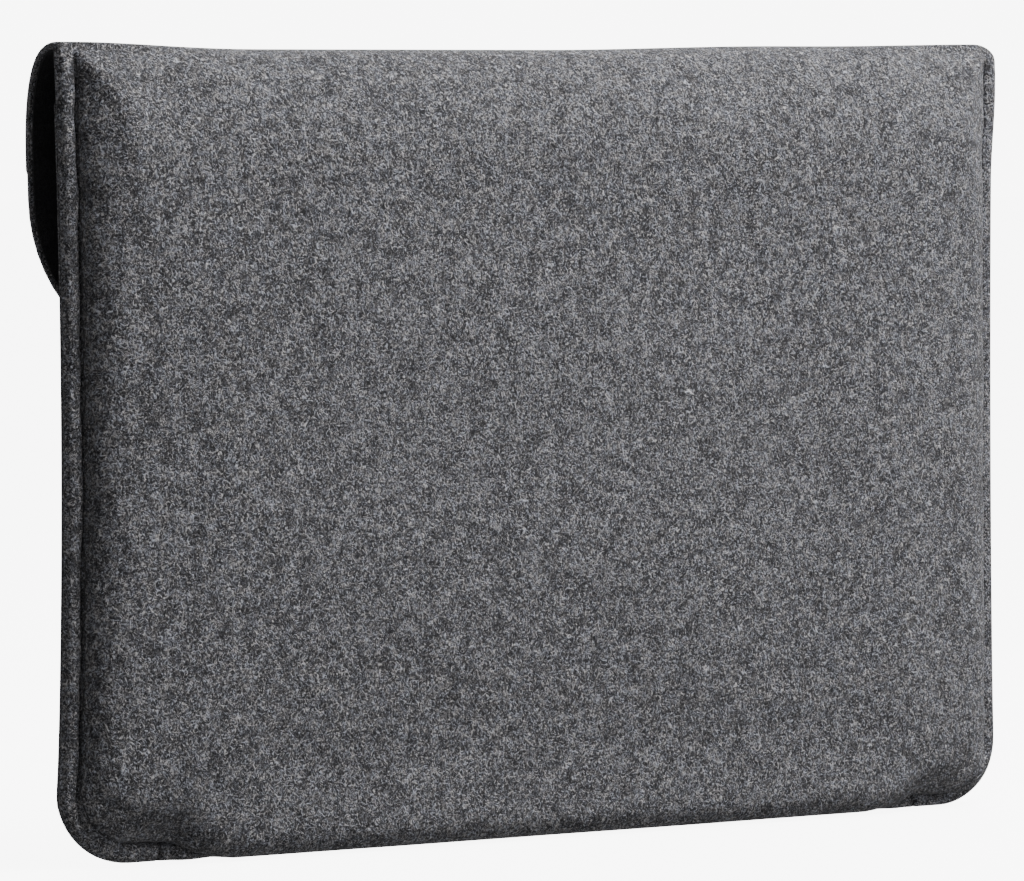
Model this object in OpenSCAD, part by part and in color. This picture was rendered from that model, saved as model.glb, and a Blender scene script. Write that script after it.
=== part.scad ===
// Padded felt sleeve for a 13-inch notebook, standing upright on its folded bottom edge.
// X runs along the width, Y through the thickness with the flap on the -Y side, and Z up.
// The origin is the centre of the resting face, in the plane of the two side seams.

/* [Sleeve] */
// Width over the two seam flanges
sleeve_w = 350; // [300:1:420]
// Height from the resting face to the top of the closed fold
sleeve_h = 250; // [210:1:300]
// Outer radius of the two bottom corners
corner_r = 26; // [15:1:35]
// Distance from the outer edge to the seam's stitch line
seam_in = 6; // [4:0.5:8]
// Width of the flat face that the sleeve stands on
base_w = 14; // [8:1:18]

/* [Layers] */
// Thickness of the wool felt
felt_t = 2.2; // [1.6:0.1:3]
// Thickness of the foam padding
foam_t = 2.4; // [1:0.1:4]
// Thickness of the lining
lining_t = 0.7; // [0.4:0.1:1.2]
// Thickness of the notebook pocket
pocket_t = 13.2; // [10:0.2:20]

/* [Flap] */
// Distance from the top of the fold to the flap's lower edge
flap_drop = 98; // [80:1:130]
// Radius of the flap's lower corners
flap_r = 50; // [15:1:60]
// Air between the front panel and the flap's lining, filled by the closed tapes
flap_gap = 2.65; // [2:0.05:4]

/* [Closure] */
// Width of each hook or loop tape
tape_w = 70; // [40:1:100]
// Height of each hook or loop tape
tape_h = 20; // [12:1:30]
// Thickness of each tape
tape_t = 1.15; // [0.8:0.05:1.3]
// Distance from the sleeve's middle to the middle of a tape
tape_x = 100; // [50:1:110]
// Radius of the sewing thread
thread_r = 0.25; // [0.15:0.05:0.3]

/* [Hidden] */
$fn = 32;
felt_colour = "dimgray";
lining_colour = "#161618";
tape_colour = "#1d1d20";
thread_colour = "#3c3c40";
// Clearance between layers of one body, and between parts that turn on each other
layer_gap = 0.05;
turn_gap = 0.3;
// Distances of each layer's two faces outward from the pocket's wall
lining_in = 0;
lining_out = lining_t;
foam_in = lining_out + layer_gap;
foam_out = foam_in + foam_t;
felt_in = foam_out + layer_gap;
felt_out = felt_in + felt_t;
// Half thickness over both felt panels, and the thickness of one flange layer pair
half_t = pocket_t / 2 + felt_out;
flange_lining_t = 0.3;
flange_t = flange_lining_t + felt_t;
foam_y = flange_lining_t + layer_gap;
// The fold is half a hexagon with a hinge line at each of its four corners, two per strip
fold_span = 2 * half_t + flap_gap + lining_t + layer_gap + felt_t;
strip_l = fold_span / (2 * cos(30));
fold_rise = strip_l / 2;
hinge_z = sleeve_h - fold_rise;
flap_y = half_t - fold_span;
// The mouth is the front panel's free top edge, and the foam ends below its hem
mouth_drop = 10;
mouth_z = hinge_z - mouth_drop;
foam_top = mouth_z - 8;
// The back flange stops short of the fold, so that the fold is free to turn
flange_top = hinge_z - 4;
// The flange stops at a notch beside each bottom corner, and the bottom between is one fold
notch_run = 8;
notch_x = sleeve_w / 2 - corner_r - notch_run;
notch_w = 1.6;
// The crowned panel's outline steps in by shoulder_in, shoulder_drop below its full thickness,
// and by crown_in at its full thickness
shoulder_in = 2.5;
shoulder_drop = 2.5;
crown_in = 8;
// The bottom fold widens from the resting face to the panels' thickness over base_rise
base_rise = 6;
base_h = 20;
// Hook and loop tapes lie face to face, each on its own panel
tape_z = sleeve_h - flap_drop + 18;
loop_y = -half_t - layer_gap - tape_t;
hook_y = flap_y + felt_t + layer_gap + lining_t + layer_gap;
// Distances of the stitch lines from a tape's edge, and from the mouth's and the flap's edge
stitch_in = 2;
hem_in = 4;
// Larger than the whole sleeve, for cutting blocks
big = 1000;

// Rounded-bottom outline in the XZ plane, drawn as a slab of the given half thickness about y = 0
module slab(half_w, low_z, top_z, r, half_y) {
    translate([0, half_y, 0])
        rotate([90, 0, 0])
            linear_extrude(2 * half_y)
                union() {
                    translate([-half_w, low_z + r])
                        square([2 * half_w, top_z - low_z - r]);
                    translate([-half_w + r, low_z])
                        square([2 * (half_w - r), r + 1]);
                    for (side = [-1, 1])
                        translate([side * (half_w - r), low_z + r])
                            circle(r);
                }
}

// Crowned pillow that is grow larger all round than the notebook pocket
module pillow(grow, top_z) {
    back_off = felt_out - grow;
    half_w = sleeve_w / 2 - seam_in - back_off;
    low_z = seam_in + back_off;
    seam_r = corner_r - seam_in - back_off;
    hull() {
        slab(half_w, low_z, top_z, seam_r, max(0.5, flange_t - back_off));
        slab(half_w - shoulder_in, low_z + shoulder_in, top_z, seam_r,
             half_t - back_off - shoulder_drop);
        slab(half_w - crown_in, low_z + crown_in, top_z, seam_r, half_t - back_off);
    }
    hull() {
        base_half = base_w / 2 - back_off / 2;
        translate([back_off - notch_x, -base_half, back_off])
            cube([2 * (notch_x - back_off), 2 * base_half, base_h]);
        translate([back_off - notch_x, back_off - half_t, back_off + base_rise])
            cube([2 * (notch_x - back_off), 2 * (half_t - back_off), base_h]);
    }
}

// Everything beyond from_y from the seam plane: side is 1 for the back and -1 for the front
module half_space(side, from_y) {
    translate([-big / 2, side > 0 ? from_y : -big - from_y, -big / 2])
        cube([big, big, big]);
}

// Everything above the mitre at the fold's first hinge line (side 1) or its last one (side -1)
module above_mitre(side) {
    translate([0, side > 0 ? half_t : flap_y, hinge_z - turn_gap])
        rotate([side * 30, 0, 0])
            translate([-big / 2, -big / 2, 0])
                cube([big, big, big]);
}

// Flange plate of one felt panel, open between the two bottom notches
module flange(side, top_z) {
    difference() {
        translate([0, side * (flange_lining_t + felt_t / 2), 0])
            slab(sleeve_w / 2, 0, top_z, corner_r, felt_t / 2);
        pillow(felt_in + felt_t / 2, top_z + 1);
        translate([-notch_x - notch_w, -big / 2, -1])
            cube([2 * (notch_x + notch_w), big, seam_in + 1]);
    }
}

// One layer of one panel, from from_y outward, between two distances from the pocket's wall
module layer(outer, inner, side, top_z, from_y) {
    intersection() {
        difference() {
            pillow(outer, top_z);
            pillow(inner, top_z + 1);
        }
        half_space(side, from_y);
    }
}

// The back panel also carries the bottom fold, whose underside is the resting face
module back_felt() {
    color(felt_colour) {
        difference() {
            layer(felt_out, felt_in, 1, hinge_z, flange_lining_t);
            above_mitre(1);
        }
        bottom_fold();
        flange(1, flange_top);
    }
}

module bottom_fold() {
    translate([-notch_x, -base_w / 2, 0])
        cube([2 * notch_x, base_w, felt_t]);
}

module front_felt() {
    color(felt_colour) {
        difference() {
            layer(felt_out, felt_in, -1, mouth_z, flange_lining_t);
            translate([-big / 2, -base_w / 2, -1])
                cube([big, base_w, felt_t + 1]);
        }
        flange(-1, mouth_z);
    }
}

module back_foam() {
    color("#2a2a2d") layer(foam_out, foam_in, 1, foam_top, foam_y);
}

module front_foam() {
    color("#2a2a2d") layer(foam_out, foam_in, -1, foam_top, foam_y);
}

// Thin strip of lining that is caught between the felt flanges and sewn into the seam
module lining_flange(side, top_z) {
    difference() {
        translate([0, side * (flange_lining_t + layer_gap) / 2, 0])
            slab(sleeve_w / 2 - 1, 1, top_z, corner_r - 1, (flange_lining_t - layer_gap) / 2);
        pillow(lining_in + 0.1, top_z + 1);
        translate([-notch_x - notch_w, -big / 2, -1])
            cube([2 * (notch_x + notch_w), big, seam_in + 1]);
    }
}

module back_lining() {
    color(lining_colour) {
        difference() {
            layer(lining_out, lining_in, 1, hinge_z, layer_gap);
            above_mitre(1);
        }
        lining_flange(1, mouth_z);
    }
}

module front_lining() {
    color(lining_colour) {
        layer(lining_out, lining_in, -1, mouth_z, layer_gap);
        lining_flange(-1, mouth_z);
    }
}

// Thread down the +X side, round the lower corner and run_l inward along the lower edge
module thread_path(line_x, low_z, top_z, bend_r, run_l) {
    translate([line_x, 0, low_z + bend_r])
        cylinder(r = thread_r, h = top_z - low_z - bend_r);
    translate([line_x - bend_r, 0, low_z + bend_r])
        rotate([90, 0, 0])
            rotate([0, 0, 270])
                rotate_extrude(angle = 90)
                    translate([bend_r, 0])
                        circle(thread_r);
    translate([line_x - bend_r - run_l, 0, low_z])
        rotate([0, 90, 0])
            cylinder(r = thread_r, h = run_l);
}

// The two thread lines of a side seam, one on each face of the flange
module seam_thread() {
    in = seam_in - thread_r - turn_gap;
    bend_r = corner_r - in;
    line_x = sleeve_w / 2 - in;
    run_l = line_x - bend_r - notch_x - notch_w;
    for (face = [-1, 1])
        translate([0, face * (flange_t + thread_r), 0])
            thread_path(line_x, in, mouth_z, bend_r, run_l);
}

module left_seam_thread() {
    color(thread_colour) seam_thread();
}

module right_seam_thread() {
    color(thread_colour) mirror([1, 0, 0]) seam_thread();
}

module mouth_stitching() {
    line_w = sleeve_w - 2 * (seam_in + crown_in + 2);
    color(thread_colour)
        translate([-line_w / 2, -half_t - thread_r, mouth_z - hem_in])
            rotate([0, 90, 0])
                cylinder(r = thread_r, h = line_w);
}

// Square frame of thread sewn into a tape, stitch_in from the tape's edge
module tape_frame(x, y) {
    w = tape_w - 2 * stitch_in;
    h = tape_h - 2 * stitch_in;
    d = 2 * thread_r;
    translate([x, y, tape_z + tape_h / 2])
        for (s = [-1, 1]) {
            translate([0, 0, s * h / 2])
                cube([w + d, d, d], center = true);
            translate([s * w / 2, 0, 0])
                cube([d, d, h - d], center = true);
        }
}

module tape(x, y) {
    translate([x - tape_w / 2, y, tape_z])
        cube([tape_w, tape_t, tape_h]);
}

module left_loop_tape() {
    color(tape_colour) tape(tape_x, loop_y);
}

module right_loop_tape() {
    color(tape_colour) tape(-tape_x, loop_y);
}

module loop_tape_stitching() {
    color(thread_colour)
        for (x = [-tape_x, tape_x])
            tape_frame(x, loop_y + thread_r);
}

module left_hook_tape() {
    color(tape_colour) tape(tape_x, hook_y);
}

module right_hook_tape() {
    color(tape_colour) tape(-tape_x, hook_y);
}

module hook_tape_stitching() {
    color(thread_colour)
        for (x = [-tape_x, tape_x])
            tape_frame(x, hook_y + tape_t - thread_r);
}

// How far a fold strip's mitred end lies in from its hinge line, at a depth below its outer face
function mitre_in(depth) = turn_gap / 2 + depth * tan(30);

// Section of one fold strip between two hinge lines, mitred so that it only opens outward.
// The outer hinge edge is at the origin and the strip runs along -Y before it is tilted.
module strip(inner, outer) {
    rotate([90, 0, 90])
        translate([0, 0, -sleeve_w / 2])
            linear_extrude(sleeve_w)
                polygon([
                    [-mitre_in(inner), -inner],
                    [mitre_in(inner) - strip_l, -inner],
                    [mitre_in(outer) - strip_l, -outer],
                    [-mitre_in(outer), -outer]
                ]);
}

module place_rear_strip() {
    translate([0, half_t, hinge_z]) rotate([-30, 0, 0]) children();
}

module place_front_strip() {
    translate([0, half_t - fold_span / 2, sleeve_h]) rotate([30, 0, 0]) children();
}

module rear_fold_felt() {
    color(felt_colour) place_rear_strip() strip(felt_t, 0);
}

module rear_fold_lining() {
    color(lining_colour) place_rear_strip() strip(felt_t + layer_gap + lining_t, felt_t + layer_gap);
}

module front_fold_felt() {
    color(felt_colour) place_front_strip() strip(felt_t, 0);
}

module front_fold_lining() {
    color(lining_colour) place_front_strip() strip(felt_t + layer_gap + lining_t, felt_t + layer_gap);
}

// Flap outline with two rounded lower corners, between two depths behind its outer face
module flap_plate(inner, outer, edge_in) {
    bottom_z = sleeve_h - flap_drop + edge_in;
    difference() {
        translate([0, flap_y + (inner + outer) / 2, 0])
            slab(sleeve_w / 2 - edge_in, bottom_z, hinge_z, flap_r - edge_in, (inner - outer) / 2);
        above_mitre(-1);
    }
}

module flap_felt() {
    color(felt_colour) flap_plate(felt_t, 0, 0);
}

module flap_lining() {
    color(lining_colour) flap_plate(felt_t + layer_gap + lining_t, felt_t + layer_gap, 0.5);
}

module flap_edge_stitching() {
    line_x = sleeve_w / 2 - hem_in;
    low_z = sleeve_h - flap_drop + hem_in;
    bend_r = flap_r - hem_in;
    color(thread_colour)
        translate([0, flap_y - thread_r, 0])
            for (side = [0, 1])
                mirror([side, 0, 0])
                    thread_path(line_x, low_z, hinge_z - 2, bend_r, line_x - bend_r);
}

back_felt();
front_felt();
back_foam();
front_foam();
back_lining();
front_lining();
left_seam_thread();
right_seam_thread();
mouth_stitching();
left_loop_tape();
right_loop_tape();
loop_tape_stitching();
rear_fold_felt();
rear_fold_lining();
front_fold_felt();
front_fold_lining();
flap_felt();
flap_lining();
left_hook_tape();
right_hook_tape();
hook_tape_stitching();
flap_edge_stitching();
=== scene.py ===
"""A padded felt laptop sleeve, standing on its folded bottom edge, with the flap on the far side.

Every felt, foam and lining layer is swept from one description of the sleeve's shape: the point
reached by going across (x) and along the felt wrap (v), at a depth (k) below its outer face.
Lengths in that description are in millimetres. Meshes are in metres.
"""
import math

import bmesh
import bpy
import numpy as np
from mathutils import Matrix, Vector, noise


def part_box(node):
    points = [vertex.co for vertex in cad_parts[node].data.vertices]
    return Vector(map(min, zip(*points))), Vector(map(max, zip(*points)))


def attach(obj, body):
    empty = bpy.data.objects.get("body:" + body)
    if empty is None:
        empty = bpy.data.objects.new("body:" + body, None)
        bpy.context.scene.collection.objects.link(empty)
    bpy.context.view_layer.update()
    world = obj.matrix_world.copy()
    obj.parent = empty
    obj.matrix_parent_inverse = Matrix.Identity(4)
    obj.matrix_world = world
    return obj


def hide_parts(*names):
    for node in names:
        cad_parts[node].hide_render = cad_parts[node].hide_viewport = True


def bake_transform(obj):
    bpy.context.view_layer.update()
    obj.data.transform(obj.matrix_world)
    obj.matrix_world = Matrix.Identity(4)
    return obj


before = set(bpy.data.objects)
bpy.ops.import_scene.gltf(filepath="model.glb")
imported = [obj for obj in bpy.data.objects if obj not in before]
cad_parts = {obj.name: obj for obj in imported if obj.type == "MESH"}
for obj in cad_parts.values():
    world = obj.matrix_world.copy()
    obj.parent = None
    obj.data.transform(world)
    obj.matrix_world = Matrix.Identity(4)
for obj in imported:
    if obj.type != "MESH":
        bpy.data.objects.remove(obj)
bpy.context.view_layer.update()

MM = 0.001

# --- sizes read from the frame, in millimetres -------------------------------------------------


def box_mm(node):
    low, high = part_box(node)
    return np.array(low) / MM, np.array(high) / MM


flap_low, flap_high = box_mm("flap_felt")
lining_low, lining_high = box_mm("flap_lining")
HALF_W, BULGE = box_mm("back_felt")[1][:2]
HEIGHT = box_mm("rear_fold_felt")[1][2]
MOUTH_Z = box_mm("front_felt")[1][2]
FLAP_Y, FLAP_BOTTOM = flap_low[1:]
FELT = flap_high[1] - flap_low[1]
LINING = lining_high[1] - lining_low[1]

# --- shape of the sewn felt, in millimetres ----------------------------------------------------

# The left side is +X, as it is seen from behind. Seeds pick each panel's own unevenness
BACK_SEED, FRONT_SEED = 1.0, 2.0
# Bottom corners: radius of the outline, inset and radius of the seam, and depth of the flat flange
CORNER_R = 24.0
SEAM_IN = 6.0
SEAM_R = CORNER_R - SEAM_IN
FLANGE_Y = 2.4
# Bottom fold: the notches at its ends, the run over which the flange fades there, and its radius
NOTCH_X = 141.0
CREASE_RUN = 24.0
FOLD_R = 7.5
# How far the back's bottom seam is pulled down towards its right corner
TUCK = 2.4
# Steep padded wall: its width, what the top adds to it, and its width above the bottom seam
WALL_RUN, WALL_TOP_EXTRA = 12.0, 7.0
WALL_LOW_LEFT, WALL_LOW_RIGHT = 15.0, 9.0
WALL_POWER, WALL_SHARE, WALL_TOP_SHARE = 2.2, 0.62, 0.9
# Slow crown behind the wall: its width from the sides and from the bottom
SLOW_RUN, SLOW_LOW_RUN, SLOW_POWER = 62.0, 25.0, 1.8
# Each layer's wall stands further in than the layer outside it, by this share of its depth
LAYER_EASE = 0.85
# How far the filled back panel stands proud of the CAD solid, and how far below that its crown starts
PROUD, SLACK = 2.6, 0.6
# Sewn groove of the outer face: its depth and width, and where it fades out on the back
GROOVE_DEPTH, GROOVE_WIDTH = 1.25, 0.6
GROOVE_END, GROOVE_FADE = 238.0, 7.0
# Slope down to the pinched ends of the top fold: height where it ends, and its run
ROLL_TOP, ROLL_RUN = 247.0, 36.0
# Top fold: height where it starts at the back, radius of its right end, and sag of its middle
ARCH_Z = 213.0
END_R = 9.0
TOP_SAG = 2.2
# Height where the fold runs out into the flap, in the middle and at the pinched ends
FLAP_START, FLAP_START_END = 231.0, 211.0
# Flap: corner radius, inset of its hem, and how far its sides flare out
FLAP_R = 50.0
HEM_IN = 4.0
FLAP_FLARE = 3.4
# How far the side seams are drawn in at mid-height, and how far the right one flares out at the top
LEFT_PULL, RIGHT_PULL, RIGHT_FLARE = 3.0, 1.2, 1.4
# Studio light: strengths in shares of a white world's, and the width of the soft sun in degrees
AMBIENT, BACKDROP, FLOOR_GLOW, SUN_SPREAD = 0.19, 8.0, 7.2, 40.0
# Sections of the wrap along v: bottom, panel, two quarters of the top fold, flap, flap's end
SECTION = 100.0
PANEL, ARCH_1, ARCH_2, FLAP, FLAP_END = (n * SECTION for n in range(1, 6))
# Where the back, fold and flap pieces part, and where the foam ends
REAR_SPLIT, FRONT_SPLIT = ARCH_1 + 62.0, ARCH_2 + 38.0
BACK_FOAM_END, FRONT_FOAM_END = ARCH_1 + 13.0, ARCH_1 - 9.0


def smooth(t):
    t = np.clip(t, 0.0, 1.0)
    return t * t * (3.0 - 2.0 * t)


def mix(a, b, t):
    return a + (b - a) * t


def wobble(x, z, scale, seed):
    """Smooth noise from -1 to 1 over the sleeve's face, the same on each run."""
    points = np.stack([x / scale, z / scale], -1)
    return np.array([noise.noise((p[0], p[1], seed)) for p in points]) * 1.6


def bump(distance, width):
    """1 on a line, falling to almost nothing at twice the width from it."""
    return np.exp(-((distance / width) ** 2))


def ear(x):
    """0 over the middle of the top fold and 1 at its two ends, where the felt is pinched."""
    start = 100.0
    return smooth((np.abs(x) - start) / (HALF_W - SEAM_IN - start)) ** 1.25


def to_right(x):
    """0 over the left half, and 1 from a third of the way across the right half."""
    return smooth(-x / 60.0)


def squareness(x):
    """Power of the front of the top fold: a plain ellipse in the middle, and squarer at the ends."""
    return mix(1.0, 0.8, ear(x))


def tuck(x, s):
    """How much lower than its flat line the back's bottom seam is pulled on the right."""
    return TUCK * to_right(x) * (1.0 - smooth((s - 14.0) / 20.0))


def end_drop(x):
    """How far the top edge comes down at the fold's rounded right end."""
    inside = np.clip(x + HALF_W, 0.0, END_R)
    return END_R - np.sqrt(END_R**2 - (END_R - inside) ** 2)


def outline_distance(x, s, radius):
    """How far in from the outline with rounded bottom corners a point of the flat cut lies."""
    across = np.abs(x) - (HALF_W - radius)
    down = radius - s
    corner = (across > 0) & (down > 0)
    return np.where(corner, radius - np.hypot(across, down), np.minimum(HALF_W - np.abs(x), s))


def swell(across, up, power):
    """0 to 1 rise of a padded edge, from distances to the side and bottom seams in edge widths."""
    r = np.hypot(1.0 - np.clip(across, 0.0, 1.0), 1.0 - np.clip(up, 0.0, 1.0))
    return (1.0 - np.clip(r, 0.0, 1.0) ** power) ** (1.0 / power)


def soft_min(a, b, radius):
    """The lower of two surfaces, rounded over where they meet."""
    near = np.clip(radius - np.abs(a - b), 0.0, None) / radius
    return np.minimum(a, b) - near * near * radius * 0.25


def seam_shift(x, s, closed_top):
    """How much further in than on the flat cut a point counts as lying.

    Between the notches the felt is folded and not sewn, so the flange fades out there.
    """
    lip_end = SEAM_IN * smooth((np.abs(x) - (NOTCH_X - CREASE_RUN)) / CREASE_RUN)
    in_fold = (s < CORNER_R) & (np.abs(x) < NOTCH_X)
    shift = np.where(in_fold, (SEAM_IN - lip_end) * smooth((CORNER_R - s) / 18.0), 0.0)
    return shift + (tuck(x, s) if closed_top else 0.0)


def padded_edge(x, from_side, from_bottom, fold, top):
    """A steep padded wall rises from the seam, and a slow crown carries on from it to the middle.

    Returns both, from 0 to 1, and the wall's share of the whole rise.
    """
    low_edge = (1.0 - smooth(from_bottom / 40.0)) * (1.0 - fold)
    power = WALL_POWER - 0.8 * top - 0.5 * low_edge
    low_run = mix(mix(WALL_LOW_LEFT, WALL_LOW_RIGHT, to_right(x)), WALL_RUN, fold)
    wall = swell(from_side / (WALL_RUN + WALL_TOP_EXTRA * top), from_bottom / low_run, power)
    slow = swell(from_side / SLOW_RUN, np.maximum(from_bottom / SLOW_LOW_RUN, fold), SLOW_POWER)
    return wall, slow, mix(WALL_SHARE, WALL_TOP_SHARE, top)


def crown(x, s, seed, closed_top):
    """Height of the filled panel's crown across, uneven at a broad and at a finer scale."""
    uneven = 1.0 if closed_top else 0.3
    height = 0.5 * np.cos(np.pi * x / (2 * HALF_W)) + 0.35 * uneven * wobble(x, s, 70.0, seed + 9.0)
    return height + 0.10 * uneven * wobble(x, s, 22.0, seed + 5.0)


def panel_face(x, s, k, seed, closed_top):
    """Depth (y) and height (z) of a filled panel at chart point (x, s), k below its outer face."""
    outer = 1.0 if np.all(np.asarray(k) == 0) else 0.0
    shift = seam_shift(x, s, closed_top)
    d = outline_distance(x, s + shift, CORNER_R)
    loose = 0.45 * wobble(x, s, 11.0, seed) + 0.25 * wobble(x, s, 5.0, seed + 3.0)
    loose = loose * bump(d - SEAM_IN, 4.0)
    d = d + loose
    fold = smooth((NOTCH_X - np.abs(x)) / CREASE_RUN)
    top = smooth((s - 185.0) / 55.0) if closed_top else np.zeros_like(s)
    from_side = HALF_W - np.abs(x) - SEAM_IN - LAYER_EASE * k + loose
    from_bottom = s + shift - SEAM_IN - LAYER_EASE * k + loose
    wall, slow, share = padded_edge(x, from_side, from_bottom, fold, top)
    rise = mix(slow, wall, share)
    full = BULGE - SLACK + (PROUD if closed_top else 0.0) - k + crown(x, s, seed, closed_top) * rise
    if closed_top:
        roll = swell((ROLL_TOP - s) / ROLL_RUN, np.ones_like(s), SLOW_POWER)
        rise = soft_min(rise, mix(1.0, roll, smooth(1.35 * ear(x))), 0.04)
    # the flange is rounded at its cut edge, between edge and seam, and into the sewn groove
    lip = np.maximum(FLANGE_Y - k, 0.15 - 0.01 * k)
    edge_round = 1.3 * (1.0 - smooth(d / 1.6)) * outer
    fade = 1.0 - smooth((s - GROOVE_END) / GROOVE_FADE) if closed_top else 1.0
    groove = GROOVE_DEPTH * fade * outer * bump(d - SEAM_IN, GROOVE_WIDTH)
    rounded = 0.7 * outer * np.sin(np.pi * np.clip(d / SEAM_IN, 0.0, 1.0))
    y = lip - edge_round - groove + rounded + (full - lip) * rise + settled(x, s, closed_top)
    # the bottom between the notches is one soft fold with no seam
    y_fold, z_fold = bottom_fold(s, k, lip + (full - lip) * mix(slow, 1.0, share))
    low = s < CORNER_R
    y = np.where(low, mix(y, y_fold, fold), y)
    z = np.where(low, mix(s, z_fold, fold), s)
    notch = bump(np.abs(x) - NOTCH_X, 0.55) * (1.0 - smooth((d - 5.0) / 2.0))
    return y - 1.5 * notch * outer, z


def bottom_fold(s, k, full):
    """Rounded underside of the fold between the notches: flat, then an arc up to the panel."""
    radius = FOLD_R - 0.6 * k
    flat = full - radius
    length = flat + radius * math.pi / 2 + CORNER_R - FOLD_R
    run = s / CORNER_R * length
    angle = np.clip((run - flat) / radius, 0.0, math.pi / 2)
    y = np.where(run < flat, run, flat + radius * np.sin(angle))
    z = np.where(run < flat, 0.0, radius * (1.0 - np.cos(angle)))
    up = np.clip(run - flat - radius * math.pi / 2, 0.0, None)
    rest = (CORNER_R - radius - k) / (CORNER_R - FOLD_R)
    return y, z + up * rest + k


def pull_in(x, z):
    """Move x in at mid-height, where the filled sleeve draws its side seams in."""
    share = np.sin(np.pi * np.clip((z - 20.0) / 235.0, 0.0, 1.0)) ** 0.6
    flare = RIGHT_FLARE * smooth((z - 205.0) / 30.0)
    pull = np.where(x > 0, LEFT_PULL * share, RIGHT_PULL * share - flare)
    return x * (1.0 - pull / HALF_W)


def section(v, start):
    """Share from 0 to 1 of one section of the wrap that is passed at v."""
    return np.clip((v - start) / SECTION, 0.0, 1.0)


def panel_s(v, top):
    """Height on the flat cut at v, for a panel whose section of the wrap ends at height top."""
    return np.where(v <= PANEL, v / PANEL * CORNER_R, mix(CORNER_R, top, (v - PANEL) / SECTION))


def fold_to_flap(x):
    """Height at which the top fold runs out into the flap."""
    return mix(FLAP_START, FLAP_START_END, ear(x))


def fold_crest(x, k, outer):
    """Depth (y) and height (z) of the highest line of the top fold."""
    y = mix(-1.5, 0.8 if outer else 0.05, ear(x))
    sag = TOP_SAG - 1.4 * smooth(-x / 90.0)
    return y, mix(HEIGHT - sag, HEIGHT - 0.1, ear(x)) - k - end_drop(x)


def hem_dent(x, z):
    """How far the flap's outer face sinks at its hem stitches and at its cut edge."""
    d = outline_distance(x, z - FLAP_BOTTOM, FLAP_R)
    return 0.5 * bump(d - HEM_IN, 0.7) + 0.7 * (1.0 - smooth(d / 0.9))


def wrap_point(x, v, k):
    """Point of the felt wrap in millimetres, from the bottom line up the back and over the top."""
    x, v = np.asarray(x, float), np.asarray(v, float)
    outer = np.all(np.asarray(k) == 0)
    top_y, top_z = fold_crest(x, k, outer)
    # up the back, and over the rear quarter of the fold
    quarter = section(v, ARCH_1) * math.pi / 2
    s = np.where(v > ARCH_1, ARCH_Z + (top_z - ARCH_Z) * np.sin(quarter), panel_s(v, ARCH_Z))
    y, z = panel_face(x, s, k, BACK_SEED, True)
    y = top_y + (y - top_y) * np.abs(np.cos(quarter)) ** mix(1.0, 0.15, ear(x))
    # down the front quarter of the fold
    start = fold_to_flap(x)
    flap_y = flap_face(x, start) + k
    quarter = section(v, ARCH_2) * math.pi / 2
    over, down = np.sin(quarter) ** squareness(x), np.abs(np.cos(quarter)) ** squareness(x)
    y = np.where(v > ARCH_2, top_y - (top_y - flap_y) * over, y)
    z = np.where(v > ARCH_2, start + (top_z - start) * down, z)
    # down the flap, and on to its rounded end
    end_z = FLAP_BOTTOM + FLAP_R
    z = np.where(v > FLAP, mix(start, end_z, section(v, FLAP)), z)
    z = np.where(v > FLAP_END, end_z - section(v, FLAP_END) * FLAP_R, z)
    y = np.where(v > FLAP, flap_face(x, z) + k, y)
    if outer:
        y = np.where(v > FLAP, y + hem_dent(x, z), y)
        dent = 0.6 * (1.0 - smooth((HALF_W - np.abs(x)) / 0.9))
        along_fold = np.sin(np.pi * (v - ARCH_1) / (FLAP - ARCH_1))
        z = np.where((v > ARCH_1) & (v <= FLAP), z - dent * along_fold, z)
    return np.stack([pull_in(x, z), y, z], -1)


def front_point(x, v, k):
    """Point of the front panel in millimetres, from the bottom line up to the mouth."""
    x, v = np.asarray(x, float), np.asarray(v, float)
    s = panel_s(v, MOUTH_Z)
    y, z = panel_face(x, s, k, FRONT_SEED, False)
    y = y - 1.2 * smooth((s - 205.0) / 30.0) * np.clip((y - 4.0) / 8.0, 0.0, 1.0)
    if np.all(np.asarray(k) == 0):
        y = y - 0.5 * bump(MOUTH_Z - s - HEM_IN, 0.7)
        y = y - 0.8 * (1.0 - smooth((MOUTH_Z - s) / 1.2))
    return np.stack([pull_in(x, z), -y, z], -1)


def flap_face(x, z):
    """Depth (y) of the flap's outer face: flat over the tapes, and flaring out at its sides."""
    ease = 2.0 * ear(x) * np.clip((205.0 - z) / 55.0, 0.0, 1.0) ** 2
    return FLAP_Y + 0.15 + ease - FLAP_FLARE * ear(x) + 0.25 * wobble(x, z, 45.0, 21.0)


# --- cloth simulation: how each padded panel settles --------------------------------------------

SETTLED = {}
CLOTH_X = np.linspace(-HALF_W, HALF_W, 79)
CLOTH_S = np.linspace(0.0, 245.0, 55)
CLOTH_FRAMES = 20
CLOTH_SHARE, CLOTH_CAP = 0.5, 2.0
# Height and run over which the front panel's movement fades: the flap and its tapes hold it above
FLAT_FROM, FLAT_RUN = 105.0, 40.0


def spline(t):
    """Weight of a cubic B-spline, 0 beyond two steps."""
    t = np.abs(t)
    near = (4.0 - 6.0 * t**2 + 3.0 * t**3) / 6.0
    return np.where(t < 1.0, near, np.clip(2.0 - t, 0.0, None) ** 3 / 6.0)


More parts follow.
